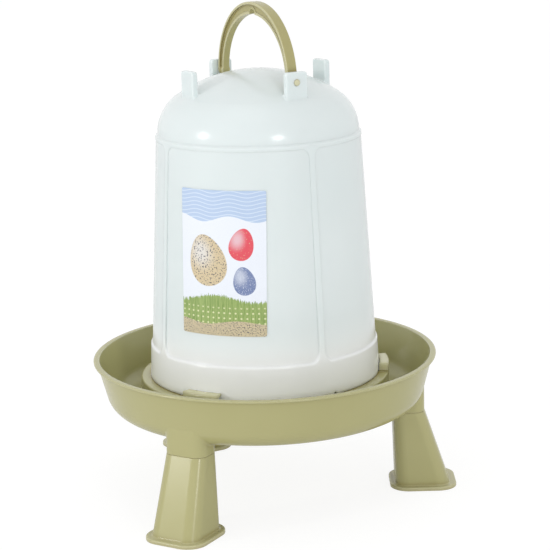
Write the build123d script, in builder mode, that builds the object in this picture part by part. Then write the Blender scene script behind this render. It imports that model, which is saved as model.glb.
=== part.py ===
from build123d import *
import math
import os

# A five litre poultry drinker on three legs, in millimetres.
# A bell-shaped water tank stands mouth down on a round drinking basin and turns a few degrees
# to lock under three hooks. Three hollow legs plug into sockets under the basin, and a bail
# handle swings in two of the four lugs on the dome.
# Z is up from the floor, along the axis of the tank. X runs through the handle's two lugs.

# Legs
LEG_ANGLES = {"leg_front": -60, "leg_rear": 60, "leg_left": 180}
leg_height = 63.9
leg_wall = 2.0
leg_inset = 22.5
leg_top_depth = 25.8
leg_top_width = 35.2
leg_top_corner = 9.0
leg_splay = 1.8
foot_depth = 45.0
foot_width = 42.8
foot_corner = 11.0
foot_blend = 1.2
flange_margin = 4.5
flange_thickness = 2.8
flange_round = 0.9
spigot_height = 7.0
spigot_wall = 1.8
spigot_clearance = 0.15
seam_groove = 0.5

# Basin
boss_drop = 7.9
basin_wall = 2.2
basin_depth = 42.3
basin_wall_lean = 14.6
basin_corner = 17.5
lip_reach = 4.5
lip_thickness = 1.9
lip_round = 0.8
lip_fillet = 1.5
pedestal_rise = 27.1
pedestal_width = 16.5
trough_width = 24.6
pedestal_round = 1.6
boss_blend = 2.0

# Bayonet
hook_span = 18.0
hook_height = 7.1
hook_roof = 2.4
hook_wall = 2.2
hook_stop = 2.2
hook_round = 1.0
hook_clearance = 0.5
ear_reach = 5.4
ear_clearance = 0.4
ear_span = 14.0
ear_stop_gap = 0.3

# Tank
tank_wall = 1.6
tank_seat_gap = 0.3
tank_height = 196.0
skirt_foot_r = 92.6
skirt_taper = 1.1
skirt_height = 26.6
skirt_step = 1.3
panel_taper = 9.2
ledge_reach = 0.4
ledge_height = 4.0
ledge_round = 1.6
dome_inset = 1.8
dome_height = 48.9
dome_corner_r = 35.5
rib_width = 5.6
panel_corner = 6.0
outlet_r = 1.5
outlet_angle = 6.3
outlet_count = 3

# Lugs and handle
LUG_ANGLES = [0, 90, 180, 270]
lug_inset = 17.8
lug_thickness = 4.8
lug_width = 18.5
lug_height_over_dome = 2.7
lug_corner = 2.6
lug_edge = 0.8
lug_root = 1.8
pin_below_dome = 5.3
pin_r = 2.5
pin_clearance = 0.08
pin_proud = 0.9
pin_edge = 0.8
collar_r = 3.6
collar_length = 1.0
handle_side_gap = 0.4
handle_crown_rise = 1.8
handle_width = 8.6
handle_leg_depth = 6.1
handle_crown_depth = 9.6
handle_web = 4.6
handle_inner_width = 5.6
handle_outer_flange = 2.0
handle_inner_flange = 2.0
handle_edge = 0.8
eye_rise = 0.5
pocket_round = 0.9
notch_width = 8.6
notch_height = 4.0

# Label
label_angle = -50.7
label_width = 70.7
label_height = 111.6
label_above_seat = 51.2
label_thickness = 0.25
label_gap = 0.05
label_corner = 1.5

# The tank's radii, from its foot up
skirt_top_r = skirt_foot_r - skirt_taper
panel_foot_r = skirt_top_r - skirt_step
shoulder_r = panel_foot_r - panel_taper
ledge_r = shoulder_r + ledge_reach
dome_r = ledge_r - dome_inset
lug_outer_r = dome_r - lug_inset

# Heights that follow from the sizes above
basin_base_z = leg_height + boss_drop
floor_z = basin_base_z + basin_wall
rim_z = basin_base_z + basin_depth
lip_z = rim_z - lip_thickness
pedestal_z = basin_base_z + pedestal_rise
hook_z = pedestal_z + hook_height
tank_z = pedestal_z + tank_seat_gap
skirt_z = tank_z + skirt_height
dome_z = tank_z + tank_height
ledge_z = dome_z - ledge_height
panel_foot_z = skirt_z + skirt_step
panel_top_z = ledge_z - ledge_reach
apex_z = dome_z + dome_height
lug_z = apex_z + lug_height_over_dome
pin_z = apex_z - pin_below_dome

# The dome is two arcs that meet smoothly: a corner arc and a crown arc centred on the axis
dome_side = dome_r - dome_corner_r
dome_top = dome_height - dome_corner_r
crown_drop = (dome_side**2 - dome_top**2) / (2 * dome_top)
dome_split = math.degrees(math.atan2(crown_drop, dome_side))

# Other radii that follow
wall_slope = math.tan(math.radians(basin_wall_lean))
hook_inner_r = skirt_foot_r + hook_clearance
ear_r = skirt_foot_r + ear_reach
pedestal_r = ear_r + ear_clearance + hook_wall
pedestal_inner_r = pedestal_r - pedestal_width
basin_base_r = pedestal_r + trough_width
leg_top_inner_r = basin_base_r - leg_inset
foot_inner_r = leg_top_inner_r + leg_splay
ear_top_z = hook_z - hook_roof - ear_clearance
lug_inner_r = lug_outer_r - lug_thickness
handle_r = lug_inner_r - handle_side_gap - collar_length
handle_rise = handle_r + handle_crown_rise
leg_mid_r = leg_top_inner_r + leg_top_depth / 2
foot_mid_r = foot_inner_r + foot_depth / 2


def wall_r(z, inset=0):
    """Radius of the basin's leaning wall at a height, inset from its outer face."""
    return basin_base_r + (z - basin_base_z) * wall_slope - inset


def panel_r(z, proud=0):
    """Radius of the tank's panels at a height, with proud added."""
    share = (z - panel_foot_z) / (panel_top_z - panel_foot_z)
    return panel_foot_r + (shoulder_r - panel_foot_r) * share + proud


def degrees_of(length, radius):
    """The angle that a length takes round a circle."""
    return math.degrees(length / radius)


def outward(angle):
    """The level direction away from the axis at an angle about it."""
    return Vector(1, 0, 0).rotate(Axis.Z, angle)


def level_plane(angle, z):
    """A level plane whose X points outward."""
    return Plane(origin=(0, 0, z), x_dir=outward(angle), z_dir=(0, 0, 1))


def upright_plane(angle):
    """A plane through the axis whose X points outward and whose Y points up."""
    return Plane(origin=(0, 0, 0), x_dir=outward(angle), z_dir=outward(angle - 90))


def facing_plane(angle, out=0):
    """An upright plane that faces outward at a distance from the axis."""
    return Plane(origin=outward(angle) * out, x_dir=outward(angle + 90), z_dir=outward(angle))


def leg_outline(inset=0, mode=Mode.ADD):
    """The section of a leg's top, inset from its outer face."""
    with Locations((leg_mid_r, 0)):
        RectangleRounded(
            leg_top_depth - 2 * inset,
            leg_top_width - 2 * inset,
            leg_top_corner - inset,
            mode=mode,
        )


def foot_outline(inset=0):
    """The section of a leg's foot, inset from its outer face."""
    with Locations((foot_mid_r, 0)):
        RectangleRounded(
            foot_depth - 2 * inset,
            foot_width - 2 * inset,
            foot_corner - inset,
        )


def bell_outline(inset=0, wall_points=()):
    """Half of the tank's section, inset from its outer face, with more points up its wall."""
    with BuildLine() as outline:
        wall = Polyline(
            (0, tank_z),
            (skirt_foot_r - inset, tank_z),
            (skirt_top_r - inset, skirt_z),
            *wall_points,
            (ledge_r - inset, ledge_z),
            (ledge_r - inset, dome_z - ledge_round),
            (dome_r - inset, dome_z),
        )
        CenterArc((dome_r - dome_corner_r, dome_z), dome_corner_r - inset, 0, dome_split)
        crown = CenterArc(
            (0, dome_z - crown_drop),
            dome_height + crown_drop - inset,
            dome_split,
            90 - dome_split,
        )
        Line(crown @ 1, wall @ 0)
    return outline.edges()


# Basin: one moulding with a trough, a ring that carries the tank, hooks and leg sockets
with BuildPart() as basin:
    with BuildSketch(Plane.XZ):
        with BuildLine():
            FilletPolyline(
                (0, basin_base_z),
                (wall_r(basin_base_z), basin_base_z),
                (wall_r(lip_z), lip_z),
                (wall_r(rim_z, basin_wall) + lip_reach, lip_z),
                (wall_r(rim_z, basin_wall) + lip_reach, rim_z),
                (0, rim_z),
                radius=(0, basin_corner, lip_fillet, lip_round, lip_round, 0),
                close=True,
            )
        make_face()
    revolve(axis=Axis.Z)
    for angle in LEG_ANGLES.values():
        with BuildSketch(level_plane(angle, leg_height)):
            leg_outline()
        extrude(amount=boss_drop + basin_depth / 2)
        fillet(basin.edges(Select.NEW), boss_blend)

    # The trough runs round the ring, and the ring encloses a shallow well
    with BuildSketch(Plane.XZ):
        with BuildLine():
            FilletPolyline(
                (pedestal_r, floor_z),
                (wall_r(floor_z, basin_wall), floor_z),
                (wall_r(rim_z, basin_wall), rim_z),
                (0, rim_z),
                (0, floor_z),
                (pedestal_inner_r, floor_z),
                (pedestal_inner_r, pedestal_z),
                (pedestal_r, pedestal_z),
                radius=(
                    pedestal_round,
                    basin_corner - basin_wall,
                    0,
                    0,
                    0,
                    pedestal_round,
                    pedestal_round,
                    pedestal_round,
                ),
                close=True,
            )
        make_face()
    revolve(axis=Axis.Z, mode=Mode.SUBTRACT)
    with BuildSketch(Plane.XZ):
        with Locations((pedestal_r - pedestal_width / 2, basin_base_z)):
            Rectangle(
                pedestal_width - 2 * basin_wall,
                pedestal_rise - basin_wall,
                align=(Align.CENTER, Align.MIN),
            )
    revolve(axis=Axis.Z, mode=Mode.SUBTRACT)
    for angle in LEG_ANGLES.values():
        with BuildSketch(level_plane(angle, leg_height)):
            leg_outline(basin_wall)
        extrude(amount=boss_drop, mode=Mode.SUBTRACT)


    # Each hook has an outer wall, a roof and one closed end, where the tank's ear stops
    stop_angle = degrees_of(hook_stop, pedestal_r)
    for angle in LEG_ANGLES.values():
        with BuildSketch(upright_plane(angle - hook_span / 2)):
            with Locations((hook_inner_r, hook_z)):
                Rectangle(
                    pedestal_r - hook_inner_r,
                    hook_height + pedestal_round,
                    align=(Align.MIN, Align.MAX),
                )
        revolve(axis=Axis.Z, revolution_arc=hook_span)
        fillet(basin.edges(Select.LAST).group_by(Axis.Z)[-1], hook_round)
        with BuildSketch(upright_plane(angle - hook_span / 2 + stop_angle)):
            with Locations((hook_inner_r, pedestal_z)):
                Rectangle(
                    pedestal_r - hook_wall - hook_inner_r,
                    hook_height - hook_roof,
                    align=Align.MIN,
                )
        revolve(axis=Axis.Z, revolution_arc=hook_span - stop_angle, mode=Mode.SUBTRACT)


# Lug: one of the four tongues that stand on the dome, as it is before the dome is hollowed
with BuildPart() as lug:
    with BuildSketch(facing_plane(0, lug_inner_r)):
        with Locations((0, dome_z)):
            RectangleRounded(lug_width, 2 * (lug_z - dome_z), lug_corner)
    extrude(amount=lug_thickness)
    fillet(lug.faces().filter_by(Axis.X).edges(), lug_edge)


# Recess: the shallow hollow that makes a panel between two ribs, with round corners
rib_span = degrees_of(rib_width, panel_foot_r)
recess_reach = 2 * panel_corner
with BuildPart() as recess:
    with BuildSketch(upright_plane(rib_span / 2)):
        with BuildLine():
            Polyline(
                (panel_foot_r, panel_foot_z),
                (panel_foot_r + recess_reach, panel_foot_z - recess_reach),
                (shoulder_r + recess_reach, panel_top_z + recess_reach),
                (shoulder_r, panel_top_z),
                close=True,
            )
        make_face()
    revolve(axis=Axis.Z, revolution_arc=90 - rib_span)
    ends = recess.edges().filter_by(GeomType.LINE).sort_by(SortBy.LENGTH)[:4]
    fillet(ends, panel_corner)


# Tank: a thin bell with a wider skirt, four ribs, four lugs and three ears under the hooks
with BuildPart() as tank:
    with BuildSketch(Plane.XZ):
        make_face(bell_outline())
    revolve(axis=Axis.Z)
    for angle in LUG_ANGLES:
        add(recess.part, rotation=(0, 0, angle), mode=Mode.SUBTRACT)
    for angle in LUG_ANGLES:
        add(lug.part, rotation=(0, 0, angle))
        fillet(tank.edges(Select.NEW), lug_root)
    ear_start = stop_angle + degrees_of(ear_stop_gap, ear_r) - hook_span / 2
    for angle in LEG_ANGLES.values():
        with BuildSketch(upright_plane(angle + ear_start)):
            with Locations((skirt_foot_r - tank_wall / 2, tank_z)):
                Rectangle(
                    ear_r - skirt_foot_r + tank_wall / 2,
                    ear_top_z - tank_z,
                    align=Align.MIN,
                )
        revolve(axis=Axis.Z, revolution_arc=ear_span)
    inner_points = [
        (panel_foot_r - tank_wall, panel_foot_z),
        (shoulder_r - tank_wall, panel_top_z),
    ]
    with BuildSketch(Plane.XZ):
        make_face(bell_outline(tank_wall, inner_points))
    revolve(axis=Axis.Z, mode=Mode.SUBTRACT)
    for angle in LUG_ANGLES[::2]:
        with BuildSketch(facing_plane(angle, lug_inner_r)):
            with Locations((0, pin_z)):
                Circle(pin_r + pin_clearance)
        extrude(amount=lug_thickness, mode=Mode.SUBTRACT)
    for turn in range(outlet_count):
        with BuildSketch(facing_plane(outlet_angle + turn * 360 / outlet_count)):
            with Locations((0, tank_z)):
                Circle(outlet_r)
        extrude(amount=skirt_foot_r, mode=Mode.SUBTRACT)


# Handle: a bail of I section with an eye, a collar and a stud at each end and a hanging notch
handle_leg_r = handle_r - handle_leg_depth
handle_crown = handle_rise - handle_crown_depth
eye_r = handle_width / 2
notch_z = pin_z + handle_crown + notch_height - notch_width / 2
with BuildPart() as handle:
    with BuildSketch(Plane.XZ):
        with Locations((0, pin_z)):
            Ellipse(handle_r, handle_rise)
            Ellipse(handle_leg_r, handle_crown, mode=Mode.SUBTRACT)
            Rectangle(
                2 * handle_r,
                handle_rise,
                align=(Align.CENTER, Align.MAX),
                mode=Mode.SUBTRACT,
            )
        with Locations((handle_leg_r, pin_z)):
            Rectangle(handle_leg_depth, eye_r, align=(Align.MIN, Align.MAX))
        with Locations((-handle_leg_r, pin_z)):
            Rectangle(handle_leg_depth, eye_r, align=(Align.MAX, Align.MAX))
        with Locations((0, notch_z)):
            Circle(notch_width / 2, mode=Mode.SUBTRACT)
    extrude(amount=handle_width / 2)
    with BuildSketch(Plane.XZ.offset(handle_inner_width / 2)):
        with Locations((0, pin_z)):
            Ellipse(handle_r - handle_outer_flange, handle_rise - handle_outer_flange)
            Ellipse(handle_leg_r, handle_crown, mode=Mode.SUBTRACT)
    extrude(amount=handle_width / 2, mode=Mode.SUBTRACT)
    with BuildSketch(Plane.XZ.offset(handle_web / 2)) as pocket:
        with Locations((0, pin_z)):
            Ellipse(handle_r - handle_outer_flange, handle_rise - handle_outer_flange)
            Ellipse(
                handle_leg_r + handle_inner_flange,
                handle_crown + handle_inner_flange,
                mode=Mode.SUBTRACT,
            )
        with Locations((0, notch_z)):
            Circle(notch_width / 2 + handle_inner_flange, mode=Mode.SUBTRACT)
        with Locations((0, pin_z + eye_rise)):
            Rectangle(
                2 * handle_r,
                2 * handle_rise,
                align=(Align.CENTER, Align.MAX),
                mode=Mode.SUBTRACT,
            )
        fillet(pocket.vertices().group_by(Axis.Y)[0], pocket_round)
    extrude(amount=handle_width / 2, mode=Mode.SUBTRACT)
    mirror(about=Plane.XZ)
    with BuildSketch(Plane.YZ):
        with Locations((0, pin_z)):
            Circle(eye_r)
            Rectangle(handle_width, handle_rise, align=(Align.CENTER, Align.MIN))
    extrude(amount=handle_r, both=True, mode=Mode.INTERSECT)
    rims = []
    for edge in handle.edges().filter_by(GeomType.ELLIPSE):
        middle = edge @ 0.5
        reach = math.hypot(middle.X / handle_r, (middle.Z - pin_z) / handle_rise)
        if math.isclose(reach, 1, rel_tol=1e-6):
            rims.append(edge)
    fillet(rims, handle_edge)
    for angle in LUG_ANGLES[::2]:
        with BuildSketch(facing_plane(angle, handle_leg_r)):
            with Locations((0, pin_z)):
                Circle(collar_r)
        extrude(amount=handle_leg_depth + collar_length)
        with BuildSketch(facing_plane(angle, handle_leg_r)):
            with Locations((0, pin_z)):
                Circle(pin_r)
        extrude(amount=lug_outer_r + pin_proud - handle_leg_r)
        stud_end = handle.faces().sort_by(Axis((0, 0, 0), outward(angle)))[-1]
        fillet(stud_end.edges(), pin_edge)


# Label: a thin sheet on the tank's wall
label_z = tank_z + label_above_seat
label_top_z = label_z + label_height
label_mid_r = panel_r((label_z + label_top_z) / 2)
with BuildPart() as label:
    with BuildSketch(Plane.XZ):
        with BuildLine():
            Polyline(
                (panel_r(label_z, label_gap), label_z),
                (panel_r(label_z, label_gap + label_thickness), label_z),
                (panel_r(label_top_z, label_gap + label_thickness), label_top_z),
                (panel_r(label_top_z, label_gap), label_top_z),
                close=True,
            )
        make_face()
    revolve(axis=Axis.Z)
    with BuildSketch(facing_plane(label_angle)):
        with Locations((0, (label_z + label_top_z) / 2)):
            RectangleRounded(
                2 * label_mid_r * math.sin(label_width / label_mid_r / 2),
                label_height,
                label_corner,
            )
    extrude(amount=2 * label_mid_r, mode=Mode.INTERSECT)


# Legs: a hollow flared column with a foot flange and a spigot that plugs into the basin
legs = {}
socket_inset = basin_wall + spigot_clearance
for name, angle in LEG_ANGLES.items():
    with BuildPart() as leg:
        with BuildSketch(level_plane(angle, 0)):
            foot_outline(-flange_margin)
        extrude(amount=flange_thickness)
        fillet(leg.edges().group_by(Axis.Z)[-1], flange_round)
        with BuildSketch(level_plane(angle, 0)):
            foot_outline()
        with BuildSketch(level_plane(angle, leg_height)):
            leg_outline()
        loft(ruled=True)
        fillet(leg.edges(Select.NEW), foot_blend)
        chamfer(leg.edges().group_by(Axis.Z)[-1], seam_groove)
        with BuildSketch(level_plane(angle, leg_height)):
            leg_outline(socket_inset)
            leg_outline(socket_inset + spigot_wall, Mode.SUBTRACT)
        extrude(amount=spigot_height)
        with BuildSketch(level_plane(angle, 0)):
            foot_outline(leg_wall)
        with BuildSketch(level_plane(angle, leg_height - leg_wall)):
            leg_outline(leg_wall)
        loft(ruled=True, mode=Mode.SUBTRACT)
    legs[name] = leg


os.makedirs("parts", exist_ok=True)
pieces = {"basin": basin, "tank": tank, "handle": handle, "label": label, **legs}
for name, piece in pieces.items():
    piece.part.label = name
    export_step(piece.part, f"parts/{name}.step")
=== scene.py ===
import math
from typing import NamedTuple

import bpy
from mathutils import Matrix, Vector

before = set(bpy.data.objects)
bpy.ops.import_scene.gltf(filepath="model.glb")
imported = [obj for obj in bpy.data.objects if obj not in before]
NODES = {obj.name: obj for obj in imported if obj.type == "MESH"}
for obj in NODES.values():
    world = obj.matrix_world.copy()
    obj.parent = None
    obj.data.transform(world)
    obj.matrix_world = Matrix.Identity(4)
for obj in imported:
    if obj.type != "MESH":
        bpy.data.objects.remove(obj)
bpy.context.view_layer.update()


class Grain(NamedTuple):
    """A noise texture. Its scale is per metre, or per millimetre on the label's flat."""

    scale: float
    detail: float
    roughness: float = 0.5


class Bump(NamedTuple):
    """A fine relief: its height in metres, and how strongly it turns the normals."""

    height: float
    strength: float


class Wave(NamedTuple):
    """A printed line that swings as a sine across the label.

    Its level and swing are in millimetres, its stretch in millimetres to a radian, and its
    phase in radians.
    """

    level: float
    swing: float
    stretch: float
    phase: float


class Egg(NamedTuple):
    """A printed egg, in millimetres from the label's middle, with its tilt in degrees."""

    centre: tuple
    half_size: tuple
    tilt: float
    shell: tuple
    spots: tuple
    spot_scale: float
    spot_level: float


class Softbox(NamedTuple):
    """A rectangular area lamp, placed from the tank's middle, in degrees, metres and watts."""

    name: str
    azimuth: float
    elevation: float
    distance: float
    width: float
    height: float
    power: float


# Below, a pair of numbers is where a change starts and where it is full, or the two values
# that it goes between. Places are in metres in the object's frame, unless a comment says
# otherwise.

# Camera, fitted to the photograph: metres and radians in the object's frame, and pixels
CAMERA_PLACE = Vector((1.2524, -0.7057, 0.5135))
CAMERA_AHEAD = Vector((-0.8712, 0.4909, 0.0))
CAMERA_YAW = math.radians(0.402)
CAMERA_PITCH = math.radians(13.157)
CAMERA_ROLL = math.radians(-1.581)
CAMERA_NEAREST = 0.01
CAMERA_FARTHEST = 50.0
FOCAL_PIXELS = 1835.4
FRAME_PIXELS = 550
SENSOR_MM = 36.0

# Colours as they look on screen, from 0 to 255
WHITE = (255, 255, 255)
TANK_COLOUR = (228, 236, 236)
TANK_DEEP_COLOUR = (223, 232, 232)
# Painted light: a lighter colour low on the tank, for light that the plastic lets through
SKIRT_PAINTED_LIGHT_COLOUR = (249, 255, 255)
STAND_COLOUR = (178, 174, 124)
STAND_DEEP_COLOUR = (174, 170, 119)
HANDLE_COLOUR = (176, 169, 117)
HANDLE_DEEP_COLOUR = (171, 164, 111)
# Painted highlight: the pale colour of edges, hooks, feet, studs and flanges
PAINTED_HIGHLIGHT_COLOUR = (222, 219, 186)
# Painted shade: the deep colour that hollows, creases and the underside of the lip are
# darkened to
PAINTED_SHADE_COLOUR = (138, 122, 62)
PAPER_WHITE = (237, 242, 251)
PRINT_SKY = (186, 206, 234)
PRINT_SKY_LINE = (214, 227, 245)
PRINT_MEADOW = (163, 184, 112)
PRINT_MEADOW_DEEP = (132, 158, 86)
PRINT_SEED = (222, 226, 178)
PRINT_SOIL = (208, 194, 160)
PRINT_SLATE = (74, 76, 92)
PRINT_SAND = (216, 198, 162)
PRINT_CORAL = (228, 84, 98)
PRINT_BLUE = (118, 134, 176)
FLOOR_COLOUR = (246, 246, 246)
FLOOR_DEEP_COLOUR = (240, 240, 240)

# The sRGB curve, from a screen colour to linear light
SRGB_KNEE = 0.04045
SRGB_SLOPE = 12.92
SRGB_OFFSET = 0.055
SRGB_POWER = 2.4

# The colour sockets of Blender's Mix node
MIX_SHARE, MIX_LOW, MIX_HIGH = 0, 6, 7
MIX_RESULT = 2

# How closely the shading of edges and hollows is sampled
BEVEL_SAMPLES = 6
SHELTER_SAMPLES = 8

# The part of a noise's values that most of it lies in, and the part for the rarer scuffs
NOISE_SPREAD = (0.3, 0.7)
SCUFF_SPREAD = (0.3, 0.8)

# Painted highlight: edges painted pale, by the cosine of the turn from the face to the
# softened edge
EDGE_TURN = (0.985, 0.85)
PAINTED_HIGHLIGHT_SHARE = 0.8

# Painted shade: hollows in a deeper colour, by how open they are to their surroundings
PAINTED_SHADE_REACH = 0.006
PAINTED_SHADE_OPENNESS = (0.92, 0.55)
PAINTED_SHADE_SHARE = 0.65

# The moulded plastic of the stand and the handle
MOULDED_DRIFT = Grain(scale=11.0, detail=2.0)
MOULDED_PEEL = Grain(scale=300.0, detail=2.0)
MOULDED_SCUFF = Grain(scale=45.0, detail=4.0)
MOULDED_ORANGE_PEEL = Bump(height=0.00002, strength=0.4)
MOULDED_ROUGHNESS = (0.20, 0.25)
MOULDED_IOR = 1.49

# The stand: how softly its edges turn, and where a pale highlight is painted on it, from the
# axis and the floor
STAND_EDGE = 0.0006
RIM_EXTRA_EDGE = 0.0014
HOOK_EXTRA_EDGE = 0.0034
RIM_FROM_AXIS = (0.1270, 0.1280)
RIM_HEIGHTS = (0.1095, 0.1115)
HOOK_FROM_AXIS = (0.1030, 0.1015)
HOOK_HEIGHTS = (0.0995, 0.1005)
HOOK_PAINTED_HIGHLIGHT = 0.6
FOOT_HEIGHTS = (0.0034, 0.0026)
FOOT_PAINTED_HIGHLIGHT = 0.45

# The handle, as in the CAD source: the height of its studs, and the half widths and rises
# of the two ellipses that are its outer face and the inner edge of its pockets
STUD_HEIGHT = 0.3388
OUTER_HALF_WIDTH = 0.0556
OUTER_RISE = 0.0574
INNER_HALF_WIDTH = 0.0515
INNER_RISE = 0.0498

# The handle's edges, its studs and flanges with painted highlights, and the ridges across its
# outer face.
# OUTER_FACE and INNER_FLANGE are shares of an ellipse's size.
HANDLE_EDGE = 0.0007
STUD_EXTRA_EDGE = 0.0016
STUD_FROM_PIN = (0.0030, 0.0026)
STUD_FROM_MIDDLE = (0.0580, 0.0585)
OUTER_FLANGE_SIDE = (0.0036, 0.0042)
INNER_FLANGE_SIDE = (0.0024, 0.0027)
INNER_FLANGE = (1.0, 0.985)
FLANGE_PAINTED_HIGHLIGHT = 0.5
OUTER_FACE = (0.985, 0.993)
RIDGE_PITCH = 0.0011
RIDGES = Bump(height=0.00006, strength=0.5)

# The tank's milky plastic
TANK_DRIFT = Grain(scale=6.0, detail=2.0)
TANK_PEEL = Grain(scale=180.0, detail=2.0)
TANK_HAZE = Grain(scale=16.0, detail=3.0)
TANK_ORANGE_PEEL = Bump(height=0.00003, strength=0.4)
TANK_ROUGHNESS = (0.20, 0.23)
TANK_IOR = 1.52
SCATTER_WEIGHT = 0.7
SCATTER_RADIUS = (1.0, 1.0, 1.0)
SCATTER_SCALE = 0.002

# The tank's skirt, painted lighter by its height for light that the plastic lets through,
# softer edges low on the tank, and the moulding gate's ring
SKIRT_PAINTED_LIGHT_HEIGHTS = (0.160, 0.118)
TANK_EDGE_HEIGHTS = (0.120, 0.180)
TANK_EDGES = (0.003, 0.0012)
GATE_OUTSIDE = (0.0062, 0.0054)
GATE_INSIDE = (0.0022, 0.0018)
GATE = Bump(height=0.0003, strength=0.6)

# The label's place, as in the CAD source: the angle and height of its middle, and its radius
LABEL_ANGLE = math.radians(-50.7)
LABEL_HEIGHT = 0.2062
LABEL_RADIUS = 0.0858
MM_PER_METRE = 1000

# The label's print, in millimetres from its middle
SKY_EDGE = Wave(level=34.0, swing=2.4, stretch=7.0, phase=0.6)
RIPPLE = Wave(level=0.0, swing=1.1, stretch=4.6, phase=0.0)
RIPPLE_RADIANS_PER_MM = 2.1
RIPPLE_LINE = (0.55, 0.9)
MEADOW_EDGE = Wave(level=-27.0, swing=2.6, stretch=10.0, phase=2.0)
SOIL_EDGE = Wave(level=-45.5, swing=1.5, stretch=8.0, phase=0.0)
PRINT_EDGE = (-0.15, 0.15)
SOIL_PRINT_EDGE = (0.15, -0.15)
GRASS_PRINT_EDGE = (0.2, -0.2)
BLADES = Grain(scale=1.3, detail=3.0, roughness=0.7)
BLADE_STRETCH = 0.06
BLADE_HEIGHT = 11.0
BLADE_SHADES = (0.4, 0.62)
SEED_COLUMN_PITCH = 4.4
SEED_ROW_PITCH = 4.0
SEED_SIZE = (0.82, 0.87)
SEED_HEIGHTS = (-33.0, -34.5)
SPECKLE_DETAIL = 2.0
SPECKLE_ROUGHNESS = 0.6
SPECKLE_EDGE = 0.04
SOIL_SPECK_SCALE = 1.1
SOIL_SPECK_LEVEL = 0.56

# The printed eggs. Sizes from an egg's middle are shares of its outline.
EGGS = (
    Egg(
        centre=(-12.0, 2.0),
        half_size=(15.5, 20.0),
        tilt=16.0,
        shell=PRINT_SAND,
        spots=PRINT_SLATE,
        spot_scale=0.75,
        spot_level=0.57,
    ),
    Egg(
        centre=(16.5, 15.0),
        half_size=(9.5, 12.5),
        tilt=-14.0,
        shell=PRINT_CORAL,
        spots=PRINT_SAND,
        spot_scale=0.9,
        spot_level=0.63,
    ),
    Egg(
        centre=(18.0, -13.0),
        half_size=(8.5, 11.0),
        tilt=9.0,
        shell=PRINT_BLUE,
        spots=PAPER_WHITE,
        spot_scale=1.3,
        spot_level=0.60,
    ),
)
EGG_TAPER = 0.18
EGG_OUTLINE = (1.02, 0.98)
LIT_SIDE = -0.35
LIT_RISE = 0.3
LIT_REACH = (0.9, 0.1)
LIT_SHARE = 0.55

# The label's film
INK_GRAIN = Grain(scale=2200.0, detail=1.0)
INK_SPREAD = (0.35, 0.65)
INK_SHARE = 0.04
FILM = Grain(scale=60.0, detail=3.0)
FILM_ROUGHNESS = (0.34, 0.42)
FILM_BUMP = Bump(height=0.00004, strength=0.4)
FILM_IOR = 1.45

# The lamps, which face a point in the tank
LAMPS_AIM = Vector((0.0, 0.0, 0.22))
SOFTBOXES = (
    Softbox(
        name="softbox_left",
        azimuth=-93.5,
        elevation=12.4,
        distance=2.0,
        width=0.20,
        height=0.28,
        power=7.5,
    ),
    Softbox(
        name="softbox_right",
        azimuth=-7.7,
        elevation=10.8,
        distance=2.4,
        width=0.28,
        height=0.24,
        power=8.5,
    ),
    Softbox(
        name="softbox_top",
        azimuth=-60.0,
        elevation=72.0,
        distance=2.4,
        width=1.6,
        height=1.6,
        power=3.5,
    ),
)

# The floor, a hair under the feet, and how much of its glow the camera and mirrors see
FLOOR_HALF = 6.0
FLOOR_DROP = 0.0002
FLOOR_GRAIN = Grain(scale=40.0, detail=4.0)
FLOOR_ROUGHNESS = 0.9
FLOOR_GLOW = 1.08
FLOOR_SEEN = 0.8
FLOOR_MIRRORED = 0.3

# The world's strength where it lights the object, and where it is seen
WORLD_STRENGTHS = (0.78, 1.0)


def linear(colour):
    """A screen colour as the linear values that Blender's sockets hold."""

    def channel(value):
        share = value / WHITE[0]
        if share <= SRGB_KNEE:
            return share / SRGB_SLOPE
        return ((share + SRGB_OFFSET) / (1 + SRGB_OFFSET)) ** SRGB_POWER

    return tuple(channel(value) for value in colour) + (1.0,)


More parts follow.
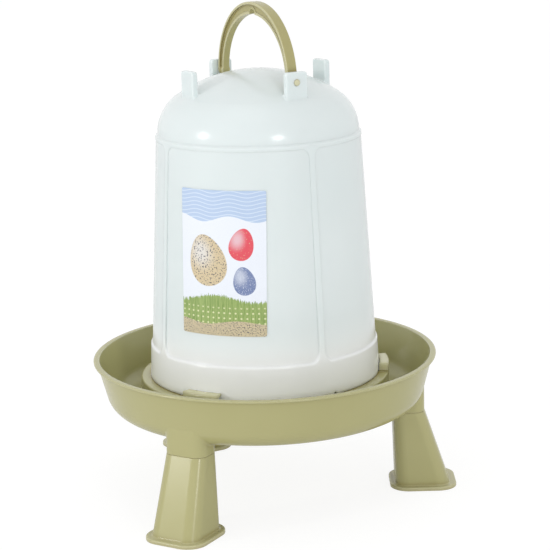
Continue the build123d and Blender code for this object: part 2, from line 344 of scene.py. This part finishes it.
class Nodes:
    """Builds the node tree of a material, or of the world, with short calls."""

    def __init__(self, owner, shader="Principled BSDF"):
        owner.use_nodes = True
        self.owner = owner
        self.tree = owner.node_tree
        self.shader = self.tree.nodes[shader]

    def add(self, kind, inputs=(), **settings):
        """A new node: its settings are attributes, and its inputs sockets or plain values."""
        node = self.tree.nodes.new(kind)
        for key, value in settings.items():
            setattr(node, key, value)
        for slot, value in dict(inputs).items():
            self.set(node, slot, value)
        return node

    def set(self, node, slot, value):
        if isinstance(value, bpy.types.NodeSocket):
            self.tree.links.new(value, node.inputs[slot])
        else:
            node.inputs[slot].default_value = value

    def finish(self, **sockets):
        """Sets the shader's own sockets, and gives the material or world back."""
        for slot, value in sockets.items():
            self.set(self.shader, slot.replace("_", " "), value)
        return self.owner

    def math(self, operation, *values):
        return self.add("ShaderNodeMath", enumerate(values), operation=operation).outputs[0]

    def plus(self, a, b):
        return self.math("ADD", a, b)

    def minus(self, a, b):
        return self.math("SUBTRACT", a, b)

    def times(self, a, b):
        return self.math("MULTIPLY", a, b)

    def over(self, a, b):
        return self.math("DIVIDE", a, b)

    def most(self, a, b):
        return self.math("MAXIMUM", a, b)

    def absolute(self, a):
        return self.math("ABSOLUTE", a)

    def sine(self, a):
        return self.math("SINE", a)

    def distance(self, a, b):
        """How far a point is from zero, from its two coordinates."""
        return self.math("SQRT", self.plus(self.times(a, a), self.times(b, b)))

    def span(self, value, ends, to=(0.0, 1.0)):
        """A smooth change from to[0] to to[1], while value goes from ends[0] to ends[1]."""
        node = self.add(
            "ShaderNodeMapRange",
            {
                "Value": value,
                "From Min": ends[0],
                "From Max": ends[1],
                "To Min": to[0],
                "To Max": to[1],
            },
            interpolation_type="SMOOTHSTEP",
        )
        return node.outputs[0]

    def mix(self, share, low, high):
        """One colour where share is 0 and another where it is 1."""
        node = self.add("ShaderNodeMix", data_type="RGBA")
        for slot, value in ((MIX_SHARE, share), (MIX_LOW, low), (MIX_HIGH, high)):
            self.set(node, slot, value)
        return node.outputs[MIX_RESULT]

    def place(self):
        return self.add("ShaderNodeTexCoord").outputs["Object"]

    def split(self):
        """The place on the piece as X, Y and Z."""
        return self.add("ShaderNodeSeparateXYZ", {"Vector": self.place()}).outputs

    def noise(self, grain, vector=None):
        inputs = {
            "Vector": vector or self.place(),
            "Scale": grain.scale,
            "Detail": grain.detail,
            "Roughness": grain.roughness,
        }
        return self.add("ShaderNodeTexNoise", inputs).outputs[0]

    def bevel(self, radius):
        """Normals that turn smoothly over sharp edges."""
        node = self.add("ShaderNodeBevel", {"Radius": radius}, samples=BEVEL_SAMPLES)
        return node.outputs[0]

    def shelter(self, reach):
        """How open a point is to its surroundings: 1 on plain faces, less in hollows."""
        node = self.add(
            "ShaderNodeAmbientOcclusion", {"Distance": reach}, samples=SHELTER_SAMPLES
        )
        return node.outputs["AO"]

    def edges(self, rounded):
        """1 where an edge turns and 0 on plain faces, from the normals that bevel gives."""
        flat = self.add("ShaderNodeNewGeometry").outputs["True Normal"]
        node = self.add(
            "ShaderNodeVectorMath", enumerate((rounded, flat)), operation="DOT_PRODUCT"
        )
        return self.span(node.outputs["Value"], EDGE_TURN)

    def bump(self, kind, relief, normal=None):
        """Normals turned by a relief, on top of the normals given."""
        inputs = {"Height": relief, "Distance": kind.height, "Strength": kind.strength}
        if normal is not None:
            inputs["Normal"] = normal
        return self.add("ShaderNodeBump", inputs).outputs[0]


def material_nodes(name):
    return Nodes(bpy.data.materials.new(name))


def stand_edges_and_highlight(n, x, y, z):
    """What the stand's rim and hooks add to their edges' radius, and where a pale highlight is
    painted on its hooks and feet.
    """
    from_axis = n.distance(x, y)
    rim = n.times(n.span(from_axis, RIM_FROM_AXIS), n.span(z, RIM_HEIGHTS))
    hook = n.times(n.span(from_axis, HOOK_FROM_AXIS), n.span(z, HOOK_HEIGHTS))
    foot = n.span(z, FOOT_HEIGHTS, to=(0.0, FOOT_PAINTED_HIGHLIGHT))
    extra_edge = n.most(n.times(rim, RIM_EXTRA_EDGE), n.times(hook, HOOK_EXTRA_EDGE))
    return extra_edge, n.most(n.times(hook, HOOK_PAINTED_HIGHLIGHT), foot)


def arch_share(n, x, z, half_width, rise):
    """How far out a point of the handle is: 1 on the ellipse of this half width and rise."""
    across = n.over(x, half_width)
    up = n.over(n.minus(z, STUD_HEIGHT), rise)
    return n.distance(across, up)


def handle_edges_and_highlight(n, x, y, z):
    """What the handle's studs add to their edges' radius, and where a pale highlight is
    painted on its studs and flanges.
    """
    from_pin = n.distance(y, n.minus(z, STUD_HEIGHT))
    end = n.span(n.absolute(x), STUD_FROM_MIDDLE)
    stud = n.times(n.span(from_pin, STUD_FROM_PIN), end)
    side = n.absolute(y)
    painted_highlight_share = (0.0, FLANGE_PAINTED_HIGHLIGHT)
    outer = n.span(side, OUTER_FLANGE_SIDE, to=painted_highlight_share)
    inside = n.span(arch_share(n, x, z, INNER_HALF_WIDTH, INNER_RISE), INNER_FLANGE)
    inner = n.times(n.span(side, INNER_FLANGE_SIDE, to=painted_highlight_share), inside)
    return n.times(stud, STUD_EXTRA_EDGE), n.most(stud, n.most(outer, inner))


def ridged(n, x, y, z, normal):
    """Fine ridges across the handle's outer face."""
    outside = n.span(arch_share(n, x, z, OUTER_HALF_WIDTH, OUTER_RISE), OUTER_FACE)
    wave = n.sine(n.times(y, math.tau / RIDGE_PITCH))
    return n.bump(RIDGES, n.times(wave, outside), normal)


def moulded(name, colour, deep, edge, edges_and_highlight, relief=None):
    """Glossy moulded plastic: faint flow marks, orange peel, hairline scuffs, soft edges,
    painted shade in hollows and painted highlights on edges.

    The edge-and-highlight function says how much the edges soften and where a pale highlight
    is painted, and relief adds to its normals.
    """
    n = material_nodes(name)
    x, y, z = n.split()
    drift = n.span(n.noise(MOULDED_DRIFT), NOISE_SPREAD)
    base = n.mix(drift, linear(deep), linear(colour))
    extra_edge, painted_highlight_share = edges_and_highlight(n, x, y, z)
    rounded = n.bevel(n.plus(extra_edge, edge))
    # Painted shade: darker towards a deep colour where a point is enclosed, in hollows, under
    # the lip and between parts
    painted_shade = n.span(n.shelter(PAINTED_SHADE_REACH), PAINTED_SHADE_OPENNESS, to=(0.0, PAINTED_SHADE_SHARE))
    base = n.mix(painted_shade, base, linear(PAINTED_SHADE_COLOUR))
    # Painted highlight: edges and the places given are painted pale
    painted_highlight = n.times(n.most(n.edges(rounded), painted_highlight_share), PAINTED_HIGHLIGHT_SHARE)
    base = n.mix(painted_highlight, base, linear(PAINTED_HIGHLIGHT_COLOUR))
    normal = n.bump(MOULDED_ORANGE_PEEL, n.noise(MOULDED_PEEL), rounded)
    if relief:
        normal = relief(n, x, y, z, normal)
    return n.finish(
        Base_Color=base,
        Roughness=n.span(n.noise(MOULDED_SCUFF), SCUFF_SPREAD, to=MOULDED_ROUGHNESS),
        Normal=normal,
        IOR=MOULDED_IOR,
    )


def tank_plastic():
    """Milky polyethylene that lets some light through, with a moulding gate on its crown, and
    painted light on its lower skirt.
    """
    n = material_nodes("tank_plastic")
    x, y, z = n.split()
    drift = n.span(n.noise(TANK_DRIFT), NOISE_SPREAD)
    base = n.mix(drift, linear(TANK_DEEP_COLOUR), linear(TANK_COLOUR))
    # Painted light: the skirt painted lighter towards the bottom
    base = n.mix(n.span(z, SKIRT_PAINTED_LIGHT_HEIGHTS), base, linear(SKIRT_PAINTED_LIGHT_COLOUR))
    from_axis = n.distance(x, y)
    ring = n.minus(n.span(from_axis, GATE_OUTSIDE), n.span(from_axis, GATE_INSIDE))
    normal = n.bevel(n.span(z, TANK_EDGE_HEIGHTS, to=TANK_EDGES))
    normal = n.bump(TANK_ORANGE_PEEL, n.noise(TANK_PEEL), normal)
    return n.finish(
        Base_Color=base,
        Roughness=n.span(n.noise(TANK_HAZE), NOISE_SPREAD, to=TANK_ROUGHNESS),
        Normal=n.bump(GATE, ring, normal),
        IOR=TANK_IOR,
        Subsurface_Weight=SCATTER_WEIGHT,
        Subsurface_Radius=SCATTER_RADIUS,
        Subsurface_Scale=SCATTER_SCALE,
    )


def egg_share(n, across, up, egg, centre):
    """How far a point of the label is from a centre: 1 on the egg's outline round it."""
    half_width, half_height = egg.half_size
    turn = math.radians(egg.tilt)
    dx = n.minus(across, centre[0])
    dy = n.minus(up, centre[1])
    wide = n.plus(n.times(dx, math.cos(turn)), n.times(dy, math.sin(turn)))
    tall = n.minus(n.times(dy, math.cos(turn)), n.times(dx, math.sin(turn)))
    taper = n.minus(1.0, n.times(tall, EGG_TAPER / half_height))
    return n.distance(n.over(n.over(wide, half_width), taper), n.over(tall, half_height))


def label_print():
    """Printed film with a plain farm design: sky, three speckled eggs and a seeded meadow."""
    n = material_nodes("label_film")
    x, y, z = n.split()
    turn = n.minus(n.math("ARCTAN2", y, x), LABEL_ANGLE)
    across = n.times(turn, LABEL_RADIUS * MM_PER_METRE)
    up = n.times(n.minus(z, LABEL_HEIGHT), MM_PER_METRE)

    def flat(height):
        return n.add("ShaderNodeCombineXYZ", {"X": across, "Y": height}).outputs[0]

    def above(wave):
        """How far a point is above a wave."""
        swing = n.sine(n.plus(n.over(across, wave.stretch), wave.phase))
        return n.minus(up, n.math("MULTIPLY_ADD", swing, wave.swing, wave.level))

    def rows(place, pitch):
        return n.absolute(n.sine(n.times(place, math.pi / pitch)))

    def speckles(scale, level):
        grain = Grain(scale, SPECKLE_DETAIL, SPECKLE_ROUGHNESS)
        return n.span(n.noise(grain, flat(up)), (level, level + SPECKLE_EDGE))

    # Sky with thin ripples
    ripple = n.span(n.sine(n.times(above(RIPPLE), RIPPLE_RADIANS_PER_MM)), RIPPLE_LINE)
    sky = n.mix(ripple, linear(PRINT_SKY), linear(PRINT_SKY_LINE))
    paper = n.mix(n.span(above(SKY_EDGE), PRINT_EDGE), linear(PAPER_WHITE), sky)

    # Meadow with a grassy edge and rows of seeds, and a strip of soil under it
    blades = n.noise(BLADES, flat(n.times(up, BLADE_STRETCH)))
    grass = n.mix(
        n.span(blades, BLADE_SHADES), linear(PRINT_MEADOW), linear(PRINT_MEADOW_DEEP)
    )
    grid = n.times(rows(across, SEED_COLUMN_PITCH), rows(up, SEED_ROW_PITCH))
    seeds = n.times(n.span(grid, SEED_SIZE), n.span(up, SEED_HEIGHTS))
    grass = n.mix(seeds, grass, linear(PRINT_SEED))
    tips = n.plus(above(MEADOW_EDGE), BLADE_HEIGHT / 2)
    tips = n.math("MULTIPLY_ADD", blades, -BLADE_HEIGHT, tips)
    paper = n.mix(n.span(tips, GRASS_PRINT_EDGE), paper, grass)
    specks = speckles(SOIL_SPECK_SCALE, SOIL_SPECK_LEVEL)
    soil = n.mix(specks, linear(PRINT_SOIL), linear(PRINT_SLATE))
    paper = n.mix(n.span(above(SOIL_EDGE), SOIL_PRINT_EDGE), paper, soil)

    # Eggs, each lighter towards its upper left
    for egg in EGGS:
        lit_centre = (
            egg.centre[0] + egg.half_size[0] * LIT_SIDE,
            egg.centre[1] + egg.half_size[1] * LIT_RISE,
        )
        lit = n.span(
            egg_share(n, across, up, egg, lit_centre), LIT_REACH, to=(0.0, LIT_SHARE)
        )
        shell = n.mix(lit, linear(egg.shell), linear(PAPER_WHITE))
        shell = n.mix(speckles(egg.spot_scale, egg.spot_level), shell, linear(egg.spots))
        outline = n.span(egg_share(n, across, up, egg, egg.centre), EGG_OUTLINE)
        paper = n.mix(outline, paper, shell)

    # Offset print has a fine grain, and the film is slightly uneven
    ink = n.span(n.noise(INK_GRAIN), INK_SPREAD, to=(0.0, INK_SHARE))
    film = n.noise(FILM)
    return n.finish(
        Base_Color=n.mix(ink, paper, linear(PRINT_SLATE)),
        Roughness=n.span(film, NOISE_SPREAD, to=FILM_ROUGHNESS),
        Normal=n.bump(FILM_BUMP, film),
        IOR=FILM_IOR,
    )


def give(material, *node_names):
    """Puts one material on every slot of the frame's nodes named."""
    for node_name in node_names:
        for slot in NODES[node_name].material_slots:
            slot.material = material


def add_camera():
    """The photograph's camera, with its small yaw and roll."""
    upright = Vector((0.0, 0.0, 1.0))
    aside = CAMERA_AHEAD.cross(upright)
    ahead = CAMERA_AHEAD * math.cos(CAMERA_YAW) + aside * math.sin(CAMERA_YAW)
    aside = aside * math.cos(CAMERA_YAW) - CAMERA_AHEAD * math.sin(CAMERA_YAW)
    look = ahead * math.cos(CAMERA_PITCH) - upright * math.sin(CAMERA_PITCH)
    upright = ahead * math.sin(CAMERA_PITCH) + upright * math.cos(CAMERA_PITCH)
    right = aside * math.cos(CAMERA_ROLL) + upright * math.sin(CAMERA_ROLL)
    up = upright * math.cos(CAMERA_ROLL) - aside * math.sin(CAMERA_ROLL)
    turn = Matrix((right, up, -look)).transposed().to_4x4()
    data = bpy.data.cameras.new("camera")
    data.sensor_fit = "HORIZONTAL"
    data.sensor_width = SENSOR_MM
    data.lens = FOCAL_PIXELS / FRAME_PIXELS * SENSOR_MM
    data.clip_start = CAMERA_NEAREST
    data.clip_end = CAMERA_FARTHEST
    camera = bpy.data.objects.new("camera", data)
    camera.matrix_world = Matrix.Translation(CAMERA_PLACE) @ turn
    bpy.context.collection.objects.link(camera)
    bpy.context.scene.camera = camera


def add_softbox(box):
    """An area lamp that faces the tank, placed by its direction from the tank's middle."""
    azimuth = math.radians(box.azimuth)
    elevation = math.radians(box.elevation)
    way = Vector(
        (
            math.cos(azimuth) * math.cos(elevation),
            math.sin(azimuth) * math.cos(elevation),
            math.sin(elevation),
        )
    )
    data = bpy.data.lights.new(box.name, "AREA")
    data.shape = "RECTANGLE"
    data.size = box.width
    data.size_y = box.height
    data.energy = box.power
    lamp = bpy.data.objects.new(box.name, data)
    lamp.location = LAMPS_AIM + way * box.distance
    lamp.rotation_euler = way.to_track_quat("Z", "Y").to_euler()
    bpy.context.collection.objects.link(lamp)


def floor_paper():
    """Pale paper that the camera and reflections see as white, and that keeps shadows."""
    n = material_nodes("floor_paper")
    base = n.mix(n.noise(FLOOR_GRAIN), linear(FLOOR_DEEP_COLOUR), linear(FLOOR_COLOUR))
    paper = n.finish(Base_Color=base, Roughness=FLOOR_ROUGHNESS)
    glow = n.add("ShaderNodeEmission", {"Color": linear(WHITE), "Strength": FLOOR_GLOW})
    ray = n.add("ShaderNodeLightPath").outputs
    mirrored = n.most(ray["Is Glossy Ray"], ray["Is Transmission Ray"])
    seen = n.most(n.times(ray["Is Camera Ray"], FLOOR_SEEN), n.times(mirrored, FLOOR_MIRRORED))
    blend = n.add(
        "ShaderNodeMixShader", enumerate((seen, n.shader.outputs[0], glow.outputs[0]))
    )
    n.set(n.tree.nodes["Material Output"], "Surface", blend.outputs[0])
    return paper


def add_floor():
    """A plain pale floor under the object."""
    mesh = bpy.data.meshes.new("floor")
    corners = (
        (-FLOOR_HALF, -FLOOR_HALF, 0),
        (FLOOR_HALF, -FLOOR_HALF, 0),
        (FLOOR_HALF, FLOOR_HALF, 0),
        (-FLOOR_HALF, FLOOR_HALF, 0),
    )
    mesh.from_pydata(corners, [], [tuple(range(len(corners)))])
    mesh.materials.append(floor_paper())
    floor = bpy.data.objects.new("floor", mesh)
    floor.location.z = -FLOOR_DROP
    bpy.context.collection.objects.link(floor)


def add_world():
    """White where it is seen, and softer where it lights the object."""
    n = Nodes(bpy.data.worlds.new("studio"), shader="Background")
    ray = n.add("ShaderNodeLightPath").outputs
    seen = n.most(ray["Is Camera Ray"], ray["Is Glossy Ray"])
    strength = n.span(seen, (0.0, 1.0), to=WORLD_STRENGTHS)
    bpy.context.scene.world = n.finish(Color=linear(WHITE), Strength=strength)


stand = moulded("stand_plastic", STAND_COLOUR, STAND_DEEP_COLOUR, STAND_EDGE, stand_edges_and_highlight)
handle = moulded(
    "handle_plastic", HANDLE_COLOUR, HANDLE_DEEP_COLOUR, HANDLE_EDGE, handle_edges_and_highlight, ridged
)
give(stand, "basin", "leg_front", "leg_rear", "leg_left")
give(handle, "handle")
give(tank_plastic(), "tank")
give(label_print(), "label")

add_camera()
add_world()
add_floor()
for box in SOFTBOXES:
    add_softbox(box)
bpy.context.scene.view_settings.view_transform = "Standard"
